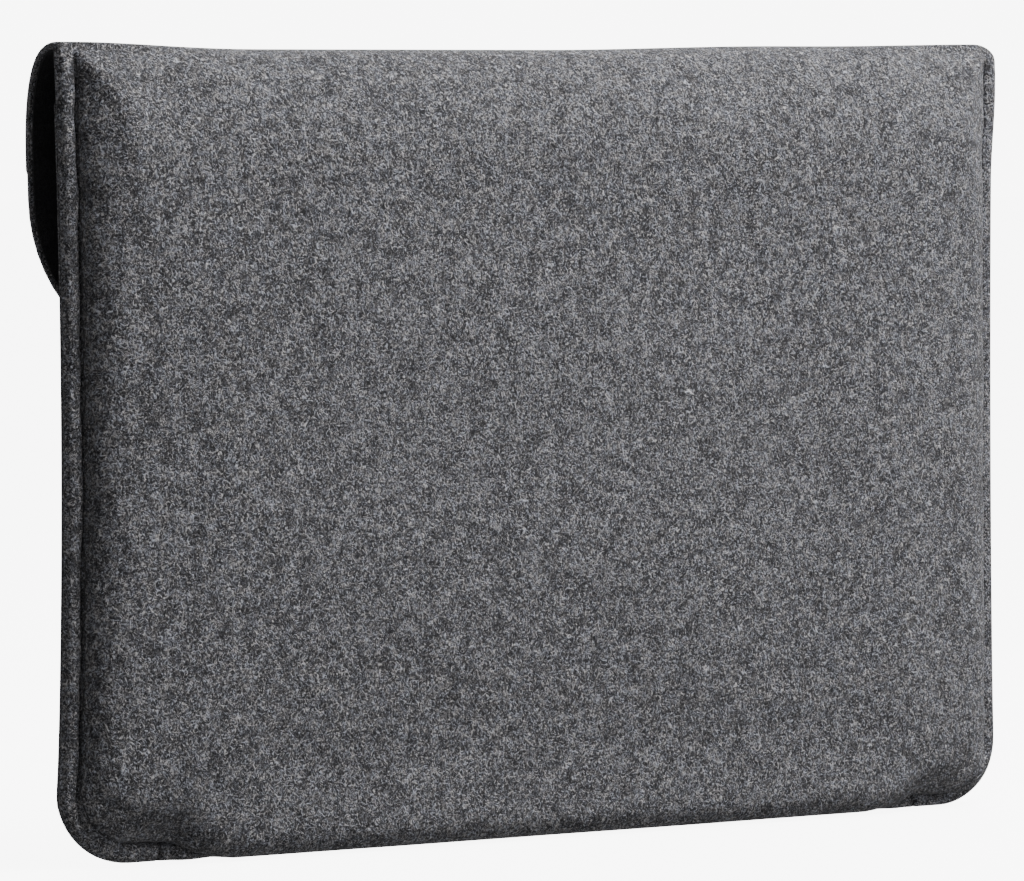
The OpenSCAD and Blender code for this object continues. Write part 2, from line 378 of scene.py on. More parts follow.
def settled(x, s, closed_top):
    """Change of depth found by the cloth simulation, smoothly read off between its points."""
    if closed_top not in SETTLED:
        return 0.0
    field = SETTLED[closed_top]
    last_row, last_column = np.array(field.shape) - 1
    i = (x - CLOTH_X[0]) / (CLOTH_X[1] - CLOTH_X[0])
    j = (s - CLOTH_S[0]) / (CLOTH_S[1] - CLOTH_S[0])
    total = np.zeros_like(i)
    for step_j in range(-1, 3):
        for step_i in range(-1, 3):
            near_i, near_j = np.floor(i) + step_i, np.floor(j) + step_j
            column = np.clip(near_i, 0, last_column).astype(int)
            row = np.clip(near_j, 0, last_row).astype(int)
            total += field[row, column] * spline(i - near_i) * spline(j - near_j)
    return total


def cloth_panel(points, pinned):
    """A panel's face as cloth, cut a little full, pinned at its seams and pressed out by padding."""
    across = len(CLOTH_X)
    index = np.arange(len(points)).reshape(-1, across)
    quads = np.stack([index[:-1, :-1], index[:-1, 1:], index[1:, 1:], index[1:, :-1]], -1)
    mesh = bpy.data.meshes.new("cloth")
    mesh.from_pydata((points * MM).tolist(), [], quads.reshape(-1, 4).tolist())
    panel = bpy.data.objects.new("cloth", mesh)
    bpy.context.scene.collection.objects.link(panel)
    panel.vertex_groups.new(name="seams").add(np.flatnonzero(pinned).tolist(), 1.0, "REPLACE")
    cloth = panel.modifiers.new("cloth", "CLOTH").settings
    cloth.vertex_group_mass = "seams"
    cloth.quality = 6
    cloth.mass = 0.2
    cloth.tension_stiffness, cloth.compression_stiffness, cloth.shear_stiffness = 40.0, 40.0, 8.0
    cloth.bending_stiffness = 1.0
    cloth.shrink_min = -0.001
    cloth.use_pressure = True
    cloth.uniform_pressure_force = 0.3
    cloth.effector_weights.gravity = 0.0
    return panel


def settle(closed_top):
    """Simulate one panel, and keep how far its cloth moves in or out as a smooth, capped field."""
    chart = rows_chart(CLOTH_X, CLOTH_S)
    x, s = chart[..., 0].ravel(), chart[..., 1].ravel()
    y, z = panel_face(x, s, 0.0, BACK_SEED if closed_top else FRONT_SEED, closed_top)
    d = outline_distance(x, s, CORNER_R)
    pinned = (d < SEAM_IN + 2.0) | (s > CLOTH_S[-3]) | (s < CORNER_R)
    panel = cloth_panel(np.stack([x, -y, z], -1), pinned)
    for number in range(1, CLOTH_FRAMES + 1):
        bpy.context.scene.frame_set(number)
    result = panel.evaluated_get(bpy.context.evaluated_depsgraph_get()).data
    moved = np.array([v.co.y for v in result.vertices]) / MM
    bpy.data.objects.remove(panel)
    bpy.context.scene.frame_set(1)
    move = np.clip(CLOTH_SHARE * (-moved - y), -CLOTH_CAP, CLOTH_CAP)
    move = move * smooth((d - SEAM_IN) / 8.0) * smooth((s - CORNER_R) / 12.0)
    if not closed_top:
        move = move * (1.0 - smooth((s - FLAT_FROM) / FLAT_RUN))
    SETTLED[closed_top] = move.reshape(chart.shape[:2])


# --- charts: where the mesh's points lie on the flat cut ----------------------------------------

# Insets of the felt's mesh rows and columns from its outline, closest together at the sewn groove
EDGE_STEPS = [0.0, 0.3, 0.65, 1.0, 1.6, 2.4, 3.2, 3.8, 4.3, 4.8, 5.15, 5.45, 5.7, 5.9, 6.1, 6.3,
              6.6, 7.0, 7.6, 8.4, 9.4, 10.6, 12.0, 13.6, 15.4, 17.4, 19.6, 21.8, 24.0, 26.0]
WIDE_STEPS = EDGE_STEPS + [29.0, 32.0, 35.0, 38.0, 41.0, 44.0, 47.0, 50.0]
NOTCH_STEPS = np.array([-2.5, -1.6, -1.0, -0.6, -0.3, 0.0, 0.3, 0.6, 1.0, 1.6, 2.5])
# The lining's and the foam's are wider apart
SOFT_STEPS = [1.2, 2.6, 4.0, 5.4, 6.2, 7.2, 8.6, 10.4, 12.6, 15.0, 18.0, 22.0, 26.0]
SOFT_WIDE_STEPS = SOFT_STEPS + [32.0, 38.0, 44.0, 50.0]
PAD_STEPS = [8.0, 9.5, 11.5, 14.0, 17.0, 21.0, 26.0]


def columns(steps=WIDE_STEPS, middle=72):
    """x of every mesh column: close together at the seams and notches, and even between."""
    start = max(steps)
    sides = np.array([HALF_W - d for d in steps])
    x = np.concatenate([-sides, np.linspace(start - HALF_W, HALF_W - start, middle), sides])
    if steps is WIDE_STEPS:
        notch = np.concatenate([-NOTCH_X + NOTCH_STEPS, NOTCH_X + NOTCH_STEPS])
        clear = np.all(np.abs(x[:, None] - notch[None, :]) > 0.8, axis=1)
        x = np.concatenate([x[clear | (np.abs(x) > HALF_W - 27)], notch])
    return np.unique(np.round(x, 4))


def ring_chart(radius, steps, x, arc_steps=14):
    """Grid of (x, s) below the corner centres: one row per inset, round both corners."""
    x = x[np.abs(x) <= HALF_W - radius + 1e-6]
    angles = np.linspace(0.0, math.pi / 2, arc_steps + 1)
    rows = []
    for d in steps:
        r = radius - d
        left = [(-(HALF_W - radius) - r * math.cos(t), radius - r * math.sin(t)) for t in angles]
        right = [(-px, s) for px, s in reversed(left)]
        middle = [(px, d) for px in x[1:-1]]
        rows.append(left + middle + right)
    return np.array(rows)


def to_quads(grids):
    """Merge point grids into one list of points and quads, joining points that coincide."""
    points, quads, start = [], [], 0
    for grid in grids:
        n, m = grid.shape[:2]
        index = np.arange(n * m).reshape(n, m) + start
        quads.append(np.stack([index[:-1, :-1], index[:-1, 1:], index[1:, 1:], index[1:, :-1]], -1)
                     .reshape(-1, 4))
        points.append(grid.reshape(-1, 2))
        start += n * m
    points, quads = np.concatenate(points), np.concatenate(quads)
    _, first, back = np.unique(np.round(points, 3), axis=0, return_index=True, return_inverse=True)
    return points[first], back.reshape(-1)[quads]


def rows_chart(x, v):
    """Plain grid of (x, v)."""
    return np.stack(np.meshgrid(x, v), -1)


def even(a, b, n):
    return np.linspace(a, b, n)


# --- meshes -------------------------------------------------------------------------------------


def make_mesh(name, points_mm, faces, material):
    """Object with a smooth-shaded mesh, sharp only along its creases."""
    mesh = bpy.data.meshes.new(name)
    mesh.from_pydata((np.asarray(points_mm) * MM).tolist(), [], faces)
    mesh.validate()
    mesh.update()
    mesh.polygons.foreach_set("use_smooth", [True] * len(mesh.polygons))
    mesh.set_sharp_from_angle(angle=math.radians(50))
    mesh.materials.append(material)
    obj = bpy.data.objects.new(name, mesh)
    bpy.context.scene.collection.objects.link(obj)
    return obj


def distinct(face):
    """The face without repeated neighbours, or None if it has collapsed."""
    kept = [i for n, i in enumerate(face) if i != face[n - 1]]
    return kept if len(set(kept)) == len(kept) and len(kept) > 2 else None


def shell(name, quads, outer, inner, material):
    """Closed sheet between two point sets of one chart, with a rim along its free edge."""
    count = len(outer)
    top = [f for f in (distinct(list(q)) for q in quads.tolist()) if f]
    sides = dict.fromkeys((a, b) for face in top for a, b in zip(face, face[1:] + face[:1]))
    rim = [(a, b) for a, b in sides if (b, a) not in sides]
    faces = top + [[i + count for i in reversed(f)] for f in top]
    faces += [[b, a, a + count, b + count] for a, b in rim]
    obj = make_mesh(name, np.concatenate([outer, inner]), faces, material)
    bm = bmesh.new()
    bm.from_mesh(obj.data)
    bmesh.ops.recalc_face_normals(bm, faces=bm.faces)
    bm.to_mesh(obj.data)
    bm.free()
    return obj


def layer(name, point, grids, k_outer, k_inner, material):
    """Closed sheet of a panel or the wrap between two depths below its outer face."""
    chart, quads = to_quads(grids)
    x, v = chart[:, 0], chart[:, 1]
    depths = [k(v) if callable(k) else k for k in (k_outer, k_inner)]
    return shell(name, quads, point(x, v, depths[0]), point(x, v, depths[1]), material)


def bottom_chart(steps, x):
    """The wrap's rounded bottom end, with s turned into the wrap's v."""
    grid = ring_chart(CORNER_R, [d for d in steps if d <= CORNER_R], x)
    grid[..., 1] *= PANEL / CORNER_R
    return grid


def flap_end_chart(steps, x):
    """The flap's rounded end, with the height above its lower edge turned into the wrap's v."""
    grid = ring_chart(FLAP_R, steps, x)[::-1]
    grid[..., 1] = FLAP_END + (FLAP_R - grid[..., 1]) / FLAP_R * SECTION
    return grid


# --- baked pieces: the back, fold and flap sheets stay where they are made, on no body -----------


def bend(piece):
    """Bake a piece's transform into its mesh. It stays where it is made, on no body."""
    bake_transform(piece)


# --- materials ----------------------------------------------------------------------------------

# Level-line fibres (size, line width, seed) and the directions of straight strands, in degrees
FIBRE_LAYERS = ((1.8, 0.050, 1.0), (2.6, 0.040, 5.0), (1.3, 0.065, 13.0))
STRAND_TURNS = ((15, 25, 5), (40, -30, 80), (-35, 70, 140), (65, 115, 30), (20, 160, -50), (80, 45, 10))


class Tree:
    """Builds one material's nodes. Inputs given as sockets are linked, and others are set."""

    def __init__(self, name, roughness, sheen=0.0):
        self.material = bpy.data.materials.new(name)
        self.material.use_nodes = True
        self.nodes = self.material.node_tree.nodes
        self.links = self.material.node_tree.links
        self.shader = self.nodes["Principled BSDF"]
        self.shader.inputs["Roughness"].default_value = roughness
        self.shader.inputs["Sheen Weight"].default_value = sheen
        self.shader.inputs["Sheen Roughness"].default_value = 0.6
        self.shader.inputs["Specular IOR Level"].default_value = 0.2
        self.place = self.add("TexCoord").outputs["Object"]

    def feed(self, socket, value):
        if isinstance(value, bpy.types.NodeSocket):
            self.links.new(value, socket)
        else:
            socket.default_value = value

    def add(self, kind, settings=None, **inputs):
        made = self.nodes.new("ShaderNode" + kind)
        for name, value in (settings or {}).items():
            setattr(made, name, value)
        for name, value in inputs.items():
            self.feed(made.inputs[name.replace("_", " ")], value)
        return made

    def math(self, operation, *values):
        made = self.add("Math", {"operation": operation})
        for socket, value in zip(made.inputs, values):
            self.feed(socket, value)
        return made.outputs[0]

    def vector_math(self, operation, *values):
        made = self.add("VectorMath", {"operation": operation})
        for socket, value in zip(made.inputs, values):
            self.feed(socket, value)
        return made.outputs[0]

    def shifted(self, place, seed):
        return self.vector_math("ADD", place, (0.31 * seed, -0.17 * seed, 0.23 * seed))

    def noise(self, size, seed=0.0, detail=1.0, place=None, output="Fac"):
        """Noise with features about size millimetres across."""
        made = self.add("TexNoise", Vector=self.shifted(place or self.place, seed),
                        Scale=1.0 / (size * MM), Detail=detail)
        return made.outputs[output]

    def ramp(self, value, low, high, to_low=0.0, to_high=1.0):
        made = self.add("MapRange", {"interpolation_type": "SMOOTHSTEP"}, Value=value, From_Min=low,
                        From_Max=high, To_Min=to_low, To_Max=to_high)
        return made.outputs["Result"]

    def mix(self, share, a, b):
        made = self.add("Mix", {"data_type": "RGBA"})
        self.feed(made.inputs["Factor"], share)
        self.feed(made.inputs[6], a)
        self.feed(made.inputs[7], b)
        return made.outputs[2]

    def warped(self, size, amount):
        """Place moved by up to about amount millimetres, over features of the given size."""
        push = self.noise(size, output="Color")
        return self.vector_math("MULTIPLY_ADD", push, (2 * amount * MM,) * 3, self.place)

    def strands(self, turn, length, width, seed, place):
        """Streaks of the given length and width in millimetres, along one turned direction."""
        turned = self.add("Mapping", {"vector_type": "TEXTURE"}, Vector=self.shifted(place, seed),
                          Rotation=tuple(math.radians(t) for t in turn),
                          Scale=(length * MM, width * MM, width * MM))
        made = self.add("TexNoise", Vector=turned.outputs[0], Scale=1.0, Detail=1.0)
        return made.outputs["Fac"]

    def fibre_lines(self, size, width, seed, place):
        """Thin curved lines along a noise's level lines, broken into short lengths."""
        level = self.noise(size, seed, 0.0, place)
        away = self.math("ABSOLUTE", self.math("SUBTRACT", level, 0.5))
        line = self.ramp(away, 0.15 * width, width, 1.0, 0.0)
        kept = self.ramp(self.noise(0.55 * size, seed + 2.5, 0.0), 0.48, 0.62)
        return self.math("MULTIPLY", line, kept)

    def nap(self, turns, length, width, low, high, place):
        """The brightest of several layers of straight strands."""
        nap = 0.0
        for n, turn in enumerate(turns):
            streak = self.ramp(self.strands(turn, length, width, 3.0 * n, place), low, high)
            nap = self.math("MAXIMUM", nap, streak)
        return nap

    def finish(self, colour, height, depth):
        self.feed(self.shader.inputs["Base Color"], colour)
        made = self.add("Bump", Height=height, Distance=depth * MM)
        self.feed(self.shader.inputs["Normal"], made.outputs[0])
        return self.material


def felt_material():
    """Heathered wool felt: light curved fibres matted over a charcoal ground."""
    tree = Tree("felt", 0.95, sheen=0.15)
    place = tree.warped(2.5, 0.9)
    fibres = 0.0
    for size, width, seed in FIBRE_LAYERS:
        fibres = tree.math("MAXIMUM", fibres, tree.fibre_lines(size, width, seed, place))
    strands = tree.nap(STRAND_TURNS, 2.8, 0.32, 0.58, 0.70, place)
    mottle = tree.noise(4.5, 21.0, 2.0)
    grain = tree.ramp(tree.noise(0.55, 33.0), 0.30, 0.70)
    body = tree.math("MULTIPLY", grain, tree.ramp(mottle, 0.30, 0.70, 0.35, 1.0))
    tone = tree.math("MULTIPLY_ADD", strands, 0.50, tree.math("MULTIPLY", body, 0.20))
    tone = tree.math("MULTIPLY_ADD", fibres, 1.30, tone)
    tone = tree.math("MULTIPLY", tone, tree.ramp(mottle, 0.35, 0.65, 0.52, 1.12))
    pits = tree.ramp(tree.noise(0.75, 53.0, 0.0, place), 0.36, 0.56, 0.30, 1.12)
    tone = tree.math("MULTIPLY", tone, pits)
    dark = tree.mix(tree.noise(1.6, 41.0), (0.008, 0.008, 0.011, 1), (0.015, 0.014, 0.016, 1))
    tint = tree.ramp(tree.noise(1.8, 47.0), 0.3, 0.7)
    light = tree.mix(tint, (0.70, 0.72, 0.82, 1), (0.83, 0.80, 0.81, 1))
    return tree.finish(tree.mix(tone, dark, light), tone, 0.45)


def lining_material():
    """Black brushed flannel with a short nap and a few greyer fibres."""
    tree = Tree("lining", 0.9, sheen=0.12)
    nap = tree.nap(STRAND_TURNS[:4], 1.8, 0.26, 0.52, 0.74, tree.warped(2.0, 0.7))
    pile = tree.ramp(tree.noise(7.0, 3.0, 2.0), 0.3, 0.7, 0.45, 1.0)
    tone = tree.math("MULTIPLY", nap, pile)
    colour = tree.mix(tone, (0.012, 0.012, 0.014, 1), (0.070, 0.070, 0.078, 1))
    return tree.finish(colour, tone, 0.30)


def foam_material():
    """Charcoal open-cell foam, pitted all over by its cells."""
    tree = Tree("foam", 0.95)
    cells = tree.add("TexVoronoi", Vector=tree.warped(1.5, 0.2), Scale=1.0 / (0.9 * MM))
    pits = tree.ramp(cells.outputs["Distance"], 0.05, 0.55)
    colour = tree.mix(pits, (0.012, 0.012, 0.013, 1), (0.050, 0.050, 0.053, 1))
    return tree.finish(colour, pits, 0.35)


def weave(tree, pitch):
    """Plain weave of threads a pitch apart in the sleeve's x and z: 0 in the gaps, 1 on a thread."""
    axes = tree.add("SeparateXYZ", Vector=tree.place)
    turn = math.pi / (pitch * MM)
    across = tree.math("SINE", tree.math("MULTIPLY", axes.outputs["X"], turn))
    along = tree.math("SINE", tree.math("MULTIPLY", axes.outputs["Z"], turn))
    return tree.ramp(tree.math("ABSOLUTE", tree.math("MULTIPLY", across, along)), 0.0, 0.9)


def tape_material():
    """Black woven nylon, a little shiny on its threads."""
    tree = Tree("tape", 0.5, sheen=0.1)
    threads = weave(tree, 0.55)
    tone = tree.math("MULTIPLY", threads, tree.ramp(tree.noise(0.4, 7.0), 0.25, 0.75, 0.5, 1.0))
    colour = tree.mix(tone, (0.004, 0.004, 0.005, 1), (0.026, 0.026, 0.030, 1))
    return tree.finish(colour, tone, 0.12)


def hook_material():
    """Moulded nylon of the hooks and drawn nylon of the loops."""
    tree = Tree("nylon", 0.35)
    tone = tree.noise(0.5, 11.0, 2.0)
    colour = tree.mix(tone, (0.010, 0.010, 0.012, 1), (0.030, 0.030, 0.034, 1))
    return tree.finish(colour, tone, 0.03)


def thread_material():
    """Spun polyester thread with fine fibres along its twist."""
    tree = Tree("thread", 0.6, sheen=0.2)
    tone = tree.nap(STRAND_TURNS[:2], 1.2, 0.12, 0.42, 0.72, tree.place)
    colour = tree.mix(tone, (0.018, 0.018, 0.021, 1), (0.075, 0.075, 0.084, 1))
    return tree.finish(colour, tone, 0.06)


def floor_material():
    tree = Tree("floor", 0.85)
    tone = tree.noise(60.0, 5.0, 3.0)
    colour = tree.mix(tone, (0.86, 0.86, 0.865, 1), (0.90, 0.90, 0.90, 1))
    tree.shader.inputs["Emission Color"].default_value = (1, 1, 1, 1)
    tree.shader.inputs["Emission Strength"].default_value = FLOOR_GLOW
    return tree.finish(colour, tone, 0.05)


FELT_MATERIAL = felt_material()
LINING_MATERIAL = lining_material()
FOAM_MATERIAL = foam_material()
TAPE_MATERIAL = tape_material()
HOOK_MATERIAL = hook_material()
THREAD_MATERIAL = thread_material()


# --- felt, lining and foam ------------------------------------------------------------------------


def attach_sheets(kind, back, fold, flap, front):
    """Put the four sheets of one kind in place of their CAD solids. Only the front goes on a body, the
    sleeve; the back, fold and flap stay where they are made.
    """
    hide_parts(f"back_{kind}")
    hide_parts(f"front_{kind}")
    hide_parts(f"rear_fold_{kind}", f"front_fold_{kind}")
    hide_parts(f"flap_{kind}")
    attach(front, "sleeve")
    bend(back)
    bend(fold)
    bend(flap)


def felt_layer(name, point, grids):
    return layer(name, point, grids, 0.0, FELT, FELT_MATERIAL)


def build_felt():
    x = columns()
    bottom = bottom_chart(EDGE_STEPS, x)
    hem_start = ARCH_1 - 6.0
    back = felt_layer("felt_back", wrap_point,
                      [bottom, rows_chart(x, even(PANEL, ARCH_1, 70)),
                       rows_chart(x, even(ARCH_1, REAR_SPLIT, 24))])
    fold = felt_layer("felt_top_fold", wrap_point,
                      [rows_chart(x, even(REAR_SPLIT, ARCH_2, 8)),
                       rows_chart(x, even(ARCH_2, FRONT_SPLIT, 8))])
    flap = felt_layer("felt_flap", wrap_point,
                      [rows_chart(x, even(FRONT_SPLIT, FLAP, 14)),
                       rows_chart(x, even(FLAP, FLAP_END, 8)), flap_end_chart(WIDE_STEPS, x)])
    front = felt_layer("felt_front", front_point,
                       [bottom, rows_chart(x, even(PANEL, hem_start, 60)),
                        rows_chart(x, even(hem_start, ARCH_1, 14))])
    attach_sheets("felt", back, fold, flap, front)


def lining_layer(name, point, grids, foam_end=0.0):
    """Lining behind the foam up to foam_end along the wrap, and against the felt beyond it."""
    def near_face(v):
        return mix(2 * FELT + 0.9, FELT + 0.06, smooth((v - foam_end - 1.0) / 8.0))

    def far_face(v):
        return near_face(v) + LINING

    return layer(name, point, grids, near_face, far_face, LINING_MATERIAL)


def build_lining():
    x = columns(SOFT_WIDE_STEPS, 56)
    bottom = bottom_chart(SOFT_STEPS, x)
    rows = rows_chart(x, even(PANEL, ARCH_1, 50))
    back = lining_layer("lining_back", wrap_point,
                        [bottom, rows, rows_chart(x, even(ARCH_1, REAR_SPLIT, 14))], BACK_FOAM_END)
    front = lining_layer("lining_front", front_point, [bottom, rows], FRONT_FOAM_END)
    fold = lining_layer("lining_top_fold", wrap_point,
                        [rows_chart(x, even(REAR_SPLIT, ARCH_2, 7)),
                         rows_chart(x, even(ARCH_2, FRONT_SPLIT, 7))])
    flap = lining_layer("lining_flap", wrap_point,
                        [rows_chart(x, even(FRONT_SPLIT, FLAP, 10)),
                         rows_chart(x, even(FLAP, FLAP_END, 6)), flap_end_chart(SOFT_WIDE_STEPS, x)])
    attach_sheets("lining", back, fold, flap, front)


def build_foam():
    """The two foam sheets sewn in between felt and lining, short of the seams and the mouth."""
    x = columns(PAD_STEPS, 60)
    sheets = (("back", wrap_point, BACK_FOAM_END), ("front", front_point, FRONT_FOAM_END))
    for name, point, end in sheets:
        grids = [bottom_chart(PAD_STEPS, x), rows_chart(x, even(PANEL, end, 44))]
        foam = layer(f"foam_{name}", point, grids, FELT + 0.1, 2 * FELT + 0.7, FOAM_MATERIAL)
        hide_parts(f"{name}_foam")
        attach(foam, "sleeve")


# --- stitching -----------------------------------------------------------------------------------


def resample(points, pitch):
    """Points one stitch apart along a line, with the line's own ends kept."""
    points = np.asarray(points, float)
    run = np.concatenate([[0.0], np.cumsum(np.linalg.norm(np.diff(points, axis=0), axis=1))])
    marks = np.linspace(0.0, run[-1], max(2, int(round(run[-1] / pitch)) + 1))
    return np.stack([np.interp(marks, run, points[:, i]) for i in range(3)], -1)


def add_tube(verts, faces, centres, radii, across, twist=0.0, sides=8):
    """Add a closed tube that bends in the plane square to across. Twisted, it looks two-ply."""
    start = len(verts)
    along = np.gradient(centres, axis=0)
    along /= np.linalg.norm(along, axis=1)[:, None]
    turn = np.linspace(0.0, 2 * math.pi, sides, endpoint=False)
    for n, (centre, forward, radius) in enumerate(zip(centres, along, radii)):
        up = np.cross(across, forward)
        ply = 1.0 if twist == 0.0 else 0.72 + 0.28 * np.abs(np.cos(turn - twist * n))
        ring = np.outer(np.cos(turn) * ply, up) + np.outer(np.sin(turn) * ply, across)
        verts += list(centre + radius * ring)
    for n in range(len(centres) - 1):
        base = start + n * sides
        for i in range(sides):
            j = (i + 1) % sides
            faces.append([base + i, base + j, base + sides + j, base + sides + i])
    faces.append([start + i for i in reversed(range(sides))])
    faces.append([start + (len(centres) - 1) * sides + i for i in range(sides)])


def stitch_tubes(lines, outward, pitch, radius, sink, rings=11):
    """Vertices and faces of separate stitches: short threads that dip into the cloth at each end."""
    verts, faces = [], []
    t = np.linspace(0.0, 1.0, rings)[:, None]
    radii = radius * (1.0 - 0.75 * np.abs(2 * t[:, 0] - 1) ** 6)
    for line, out in zip(lines, outward):
        marks = resample(line, pitch)
        out = np.asarray(out, float)
        for a, b in zip(marks[:-1], marks[1:]):
            across = np.cross(b - a, out)
            across /= np.linalg.norm(across)
            centres = a + (b - a) * (0.07 + 0.86 * t) - out * sink * (2 * t - 1) ** 4
            add_tube(verts, faces, centres, radii, across, twist=0.55)
    return verts, faces


def stitching(name, lines, outward, node, body, pitch=3.4, radius=0.3, sink=0.5):
    """Stitches along lines, as one piece that rides on a body unless body is None."""
    verts, faces = stitch_tubes(lines, outward, pitch, radius, sink)
    piece = make_mesh(name, verts, faces, THREAD_MATERIAL)
    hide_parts(node)
    if body:
        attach(piece, body)
    return piece


def seam_chart(side, top_s):
    """Chart line of a side seam: down the side, round the corner and along to the notch."""
    down = [(HALF_W - SEAM_IN, s) for s in even(top_s, CORNER_R, 60)]
    turn = [(HALF_W - CORNER_R + SEAM_R * math.cos(t), CORNER_R - SEAM_R * math.sin(t))
            for t in even(0.1, math.pi / 2, 14)]
    along = [(x, SEAM_IN) for x in even(HALF_W - CORNER_R - 1.0, NOTCH_X + 1.0, 4)]
    line = np.array(down + turn + along)
    return side * line[:, 0], line[:, 1]


def fold_v(share):
    """Distance along a quarter of the top fold at which a share of its height is reached."""
    return SECTION * 2 / math.pi * np.arcsin(np.clip(share, 0.0, 1.0))


def chart_v(s, top):
    """The wrap's v at height s on the flat cut: panel_s turned round, and carried on past its top."""
    v = np.where(s <= CORNER_R, s / CORNER_R * PANEL, PANEL + (s - CORNER_R) / (top - CORNER_R) * SECTION)
    return np.where(s > top, ARCH_1 + fold_v((s - top) / (HEIGHT - 0.1 - top)), v)


def build_seam_stitches(lift):
    """Two side seams, each seen on the back and on the front."""
    for name, side in (("left", 1), ("right", -1)):
        x, s = seam_chart(side, 229.0)
        back = wrap_point(x, chart_v(s - tuck(x, s), ARCH_Z), 0.0) + (0, lift, 0)
        front = front_point(x, chart_v(s, MOUTH_Z), 0.0) - (0, lift, 0)
        stitching(f"seam_stitches_{name}", [back, front], [(0, 1, 0), (0, -1, 0)],
                  f"{name}_seam_thread", "sleeve")


def build_mouth_stitches(lift):
    """Hem line just below the mouth."""
    x = even(-150.0, 150.0, 90)
    v = np.full_like(x, PANEL + SECTION * (MOUTH_Z - HEM_IN - CORNER_R) / (MOUTH_Z - CORNER_R))
    stitching("mouth_stitches", [front_point(x, v, 0.0) - (0, lift, 0)], [(0, -1, 0)],
              "mouth_stitching", "sleeve")


def build_flap_stitches(lift):
    """Hem line down one side of the flap, round its lower edge and up the other side."""
    bend_r = FLAP_R - HEM_IN
    side = [(HALF_W - HEM_IN, z) for z in even(238.0, FLAP_BOTTOM + FLAP_R, 14)]
    turn = [(HALF_W - FLAP_R + bend_r * math.cos(t), FLAP_BOTTOM + FLAP_R - bend_r * math.sin(t))
            for t in even(0.05, math.pi / 2, 24)]
    half = side + turn
    line = np.array(half + [(-x, z) for x, z in reversed(half)])
    x, z = line[:, 0], line[:, 1]
    start, end_z = fold_to_flap(x), FLAP_BOTTOM + FLAP_R
    height = np.clip((z - start) / (HEIGHT - 0.1 - start), 0.0, 1.0)
    on_fold = FLAP - fold_v(height ** (1.0 / squareness(x)))
    on_side = FLAP + SECTION * (start - z) / (start - FLAP_BOTTOM - FLAP_R)
    on_end = FLAP_END + SECTION * (end_z - z) / FLAP_R
    v = np.where(z > start, on_fold, np.where(z > end_z, on_side, on_end))
    points = wrap_point(x, v, 0.0) - (0, lift, 0)
    piece = stitching("flap_edge_stitches", [points], [(0, -1, 0)], "flap_edge_stitching", None)
    bend(piece)


def build_stitching():
    lift = 0.2
    build_seam_stitches(lift)
    build_mouth_stitches(lift)
    build_flap_stitches(lift)


# --- hook and loop tapes -------------------------------------------------------------------------

# Thickness of the woven base and how far it sinks in the cloth, and the insets of pile and stitches
TAPE_BASE, TAPE_SINK, TAPE_HEM, STITCH_IN = 0.5, 0.3, 3.2, 2.0
# Hook and loop outlines: run along the tape and height above its base
HOOK = np.array([(0, -0.05), (0, 0.22), (0.04, 0.42), (0.16, 0.54), (0.30, 0.50), (0.36, 0.36)])
LOOP = np.array([(0.36 * math.cos(t), 0.56 * math.sin(t)) for t in np.linspace(-0.2, math.pi + 0.2, 8)])


def tape_base(node, outward):
    """Corners of a tape's box, and the depth (y) of its base's open face."""
    low, high = box_mm(node)
    return low, high, (low[1] if outward > 0 else high[1]) + outward * TAPE_BASE


def tape_plate(name, node, body, outward):
    """Woven base with softly rounded edges, filling its CAD box and sunk a little in the cloth."""
    low, high, face = tape_base(node, outward)
    centre, half = (low + high) / 2, (high - low) / 2
    half[1] = (TAPE_BASE + TAPE_SINK) / 2
    centre[1] = face - outward * half[1]
    bm = bmesh.new()
    bmesh.ops.create_cube(bm, size=2.0)
    bmesh.ops.scale(bm, vec=Vector(half * MM), verts=bm.verts)
    bmesh.ops.bevel(bm, geom=bm.edges, offset=0.2 * MM, segments=3, affect="EDGES")
    bmesh.ops.translate(bm, vec=Vector(centre * MM), verts=bm.verts)
    mesh = bpy.data.meshes.new(name)
    bm.to_mesh(mesh)
    bm.free()
    mesh.materials.append(TAPE_MATERIAL)
    piece = bpy.data.objects.new(name, mesh)
    bpy.context.scene.collection.objects.link(piece)
    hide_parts(node)
    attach(piece, body)


def tape_pile(name, node, body, outward, outline, pitch, radius, spread, seed):
    """Hooks or loops over the whole tape inside its stitches, each turned by up to spread."""
    low, high, face = tape_base(node, outward)
    rng = np.random.default_rng(seed)
    verts, faces = [], []
    radii = np.full(len(outline), radius)
    for x in np.arange(low[0] + TAPE_HEM, high[0] - TAPE_HEM, pitch):
        for z in np.arange(low[2] + TAPE_HEM, high[2] - TAPE_HEM, pitch):
            turn = rng.uniform(-spread, spread)
            px, pz = np.array([x, z]) + rng.uniform(-0.3, 0.3, 2) * pitch * min(spread, 1.0)
            along = np.array([math.cos(turn), 0.0, math.sin(turn)])
            centres = np.array([px, face, pz]) + np.outer(outline[:, 0], along)
            centres[:, 1] += outward * outline[:, 1]
            add_tube(verts, faces, centres, radii, np.cross(along, (0, outward, 0)), sides=4)
    piece = make_mesh(name, verts, faces, HOOK_MATERIAL)
    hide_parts(node)
    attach(piece, body)


def tape_lines(node, outward):
    """Rectangle of the stitch line, in from the edge of a tape's base."""
    low, high, face = tape_base(node, outward)
    x0, x1 = low[0] + STITCH_IN, high[0] - STITCH_IN
    z0, z1 = low[2] + STITCH_IN, high[2] - STITCH_IN
    y = face + 0.1 * outward
    corners = [(x0, y, z0), (x1, y, z0), (x1, y, z1), (x0, y, z1), (x0, y, z0)]
    return [[a, b] for a, b in zip(corners[:-1], corners[1:])]


# For each kind: its body, the way it faces along y, and its pile's outline, pitch, radius and spread
TAPE_KINDS = {
    "loop": ("sleeve", -1, LOOP, 1.0, 0.07, math.pi),
    "hook": ("flap", 1, HOOK, 1.3, 0.11, 0.05),
}


